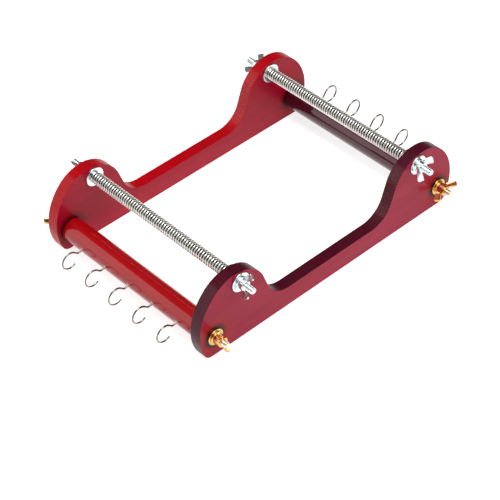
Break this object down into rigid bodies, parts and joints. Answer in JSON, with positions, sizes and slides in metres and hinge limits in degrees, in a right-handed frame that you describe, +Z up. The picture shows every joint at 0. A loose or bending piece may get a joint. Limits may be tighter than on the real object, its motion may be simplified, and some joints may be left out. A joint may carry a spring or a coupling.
{
  "type": "bead loom",
  "caption": "Tabletop bead loom: shaped wooden side plates joined by threaded rods with bead-spacing springs, turning rollers with open warp hooks, wing-nut clamps.",
  "frame": {"origin": "middle of the loom's footprint, on the surface it stands on", "axes": "+X across the loom along the rods and rollers, towards the right plate; +Y along the side plates, towards the back roller; +Z up"},
  "size_m": [0.239, 0.35, 0.0785],
  "materials": {
    "plate_wood": "red satin lacquer",
    "roller_wood": "red satin lacquer",
    "rod_steel": "bright zinc plate",
    "spring_steel": "bright zinc plate",
    "zinc_washer": "bright zinc plate",
    "zinc_wing_nut": "bright zinc plate",
    "yellow_washer": "yellow zinc plate",
    "yellow_wing_nut": "yellow zinc plate",
    "stud_steel": "zinc plate",
    "hook_steel": "dark nickel plate"
  },
  "bodies": {
    "frame": {"left_side_plate": "plate_wood", "right_side_plate": "plate_wood", "front_threaded_rod": "rod_steel", "back_threaded_rod": "rod_steel", "front_spring": "spring_steel", "back_spring": "spring_steel", "front_left_inner_washer": "zinc_washer", "front_right_inner_washer": "zinc_washer", "back_left_inner_washer": "zinc_washer", "back_right_inner_washer": "zinc_washer"},
    "front_roller": {"front_roller": "roller_wood", "front_left_roller_stud": "stud_steel", "front_right_roller_stud": "stud_steel", "front_hook_1": "hook_steel", "front_hook_2": "hook_steel", "front_hook_3": "hook_steel", "front_hook_4": "hook_steel", "front_hook_5": "hook_steel"},
    "back_roller": {"back_roller": "roller_wood", "back_left_roller_stud": "stud_steel", "back_right_roller_stud": "stud_steel", "back_hook_1": "hook_steel", "back_hook_2": "hook_steel", "back_hook_3": "hook_steel", "back_hook_4": "hook_steel", "back_hook_5": "hook_steel"},
    "front_left_rod_washer": {"front_left_rod_washer": "zinc_washer"},
    "front_left_rod_wing_nut": {"front_left_rod_wing_nut": "zinc_wing_nut"},
    "front_left_roller_washer": {"front_left_roller_washer": "yellow_washer"},
    "front_left_roller_wing_nut": {"front_left_roller_wing_nut": "yellow_wing_nut"},
    "front_right_rod_washer": {"front_right_rod_washer": "zinc_washer"},
    "front_right_rod_wing_nut": {"front_right_rod_wing_nut": "zinc_wing_nut"},
    "front_right_roller_washer": {"front_right_roller_washer": "yellow_washer"},
    "front_right_roller_wing_nut": {"front_right_roller_wing_nut": "yellow_wing_nut"},
    "back_left_rod_washer": {"back_left_rod_washer": "zinc_washer"},
    "back_left_rod_wing_nut": {"back_left_rod_wing_nut": "zinc_wing_nut"},
    "back_left_roller_washer": {"back_left_roller_washer": "yellow_washer"},
    "back_left_roller_wing_nut": {"back_left_roller_wing_nut": "yellow_wing_nut"},
    "back_right_rod_washer": {"back_right_rod_washer": "zinc_washer"},
    "back_right_rod_wing_nut": {"back_right_rod_wing_nut": "zinc_wing_nut"},
    "back_right_roller_washer": {"back_right_roller_washer": "yellow_washer"},
    "back_right_roller_wing_nut": {"back_right_roller_wing_nut": "yellow_wing_nut"}
  },
  "joints": [
    {"name": "front_roller_turn", "type": "hinge", "parent": "frame", "child": "front_roller", "pos_m": [0, -0.1398, 0.022], "axis": [1, 0, 0], "continuous": true},
    {"name": "back_roller_turn", "type": "hinge", "parent": "frame", "child": "back_roller", "pos_m": [0, 0.1398, 0.022], "axis": [1, 0, 0], "continuous": true},
    {"name": "front_left_rod_washer_slide", "type": "slide", "parent": "frame", "child": "front_left_rod_washer", "axis": [-1, 0, 0], "range_m": [0, 0.00901]},
    {"name": "front_left_rod_wing_nut_turn", "type": "hinge", "parent": "front_left_rod_washer", "child": "front_left_rod_wing_nut", "pos_m": [-0.1036, -0.10951, 0.06591], "axis": [-1, 0, 0], "range_deg": [0, 3240]},
    {"name": "front_left_roller_washer_slide", "type": "slide", "parent": "front_roller", "child": "front_left_roller_washer", "axis": [-1, 0, 0], "range_m": [0, 0.00501]},
    {"name": "front_left_roller_wing_nut_turn", "type": "hinge", "parent": "front_left_roller_washer", "child": "front_left_roller_wing_nut", "pos_m": [-0.1036, -0.1398, 0.022], "axis": [-1, 0, 0], "range_deg": [0, 1800]},
    {"name": "front_right_rod_washer_slide", "type": "slide", "parent": "frame", "child": "front_right_rod_washer", "axis": [1, 0, 0], "range_m": [0, 0.00901]},
    {"name": "front_right_rod_wing_nut_turn", "type": "hinge", "parent": "front_right_rod_washer", "child": "front_right_rod_wing_nut", "pos_m": [0.1036, -0.10951, 0.06591], "axis": [1, 0, 0], "range_deg": [0, 3240]},
    {"name": "front_right_roller_washer_slide", "type": "slide", "parent": "front_roller", "child": "front_right_roller_washer", "axis": [1, 0, 0], "range_m": [0, 0.00501]},
    {"name": "front_right_roller_wing_nut_turn", "type": "hinge", "parent": "front_right_roller_washer", "child": "front_right_roller_wing_nut", "pos_m": [0.1036, -0.1398, 0.022], "axis": [1, 0, 0], "range_deg": [0, 1800]},
    {"name": "back_left_rod_washer_slide", "type": "slide", "parent": "frame", "child": "back_left_rod_washer", "axis": [-1, 0, 0], "range_m": [0, 0.00901]},
    {"name": "back_left_rod_wing_nut_turn", "type": "hinge", "parent": "back_left_rod_washer", "child": "back_left_rod_wing_nut", "pos_m": [-0.1036, 0.10951, 0.06591], "axis": [-1, 0, 0], "range_deg": [0, 3240]},
    {"name": "back_left_roller_washer_slide", "type": "slide", "parent": "back_roller", "child": "back_left_roller_washer", "axis": [-1, 0, 0], "range_m": [0, 0.00501]},
    {"name": "back_left_roller_wing_nut_turn", "type": "hinge", "parent": "back_left_roller_washer", "child": "back_left_roller_wing_nut", "pos_m": [-0.1036, 0.1398, 0.022], "axis": [-1, 0, 0], "range_deg": [0, 1800]},
    {"name": "back_right_rod_washer_slide", "type": "slide", "parent": "frame", "child": "back_right_rod_washer", "axis": [1, 0, 0], "range_m": [0, 0.00901]},
    {"name": "back_right_rod_wing_nut_turn", "type": "hinge", "parent": "back_right_rod_washer", "child": "back_right_rod_wing_nut", "pos_m": [0.1036, 0.10951, 0.06591], "axis": [1, 0, 0], "range_deg": [0, 3240]},
    {"name": "back_right_roller_washer_slide", "type": "slide", "parent": "back_roller", "child": "back_right_roller_washer", "axis": [1, 0, 0], "range_m": [0, 0.00501]},
    {"name": "back_right_roller_wing_nut_turn", "type": "hinge", "parent": "back_right_roller_washer", "child": "back_right_roller_wing_nut", "pos_m": [0.1036, 0.1398, 0.022], "axis": [1, 0, 0], "range_deg": [0, 1800]}
  ],
  "couplings": [
    {"joint": "front_left_rod_washer_slide", "follows": "front_left_rod_wing_nut_turn", "m_per_rad": 0.00015915},
    {"joint": "front_left_roller_washer_slide", "follows": "front_left_roller_wing_nut_turn", "m_per_rad": 0.00015915},
    {"joint": "front_right_rod_washer_slide", "follows": "front_right_rod_wing_nut_turn", "m_per_rad": 0.00015915},
    {"joint": "front_right_roller_washer_slide", "follows": "front_right_roller_wing_nut_turn", "m_per_rad": 0.00015915},
    {"joint": "back_left_rod_washer_slide", "follows": "back_left_rod_wing_nut_turn", "m_per_rad": 0.00015915},
    {"joint": "back_left_roller_washer_slide", "follows": "back_left_roller_wing_nut_turn", "m_per_rad": 0.00015915},
    {"joint": "back_right_rod_washer_slide", "follows": "back_right_rod_wing_nut_turn", "m_per_rad": 0.00015915},
    {"joint": "back_right_roller_washer_slide", "follows": "back_right_roller_wing_nut_turn", "m_per_rad": 0.00015915}
  ]
}
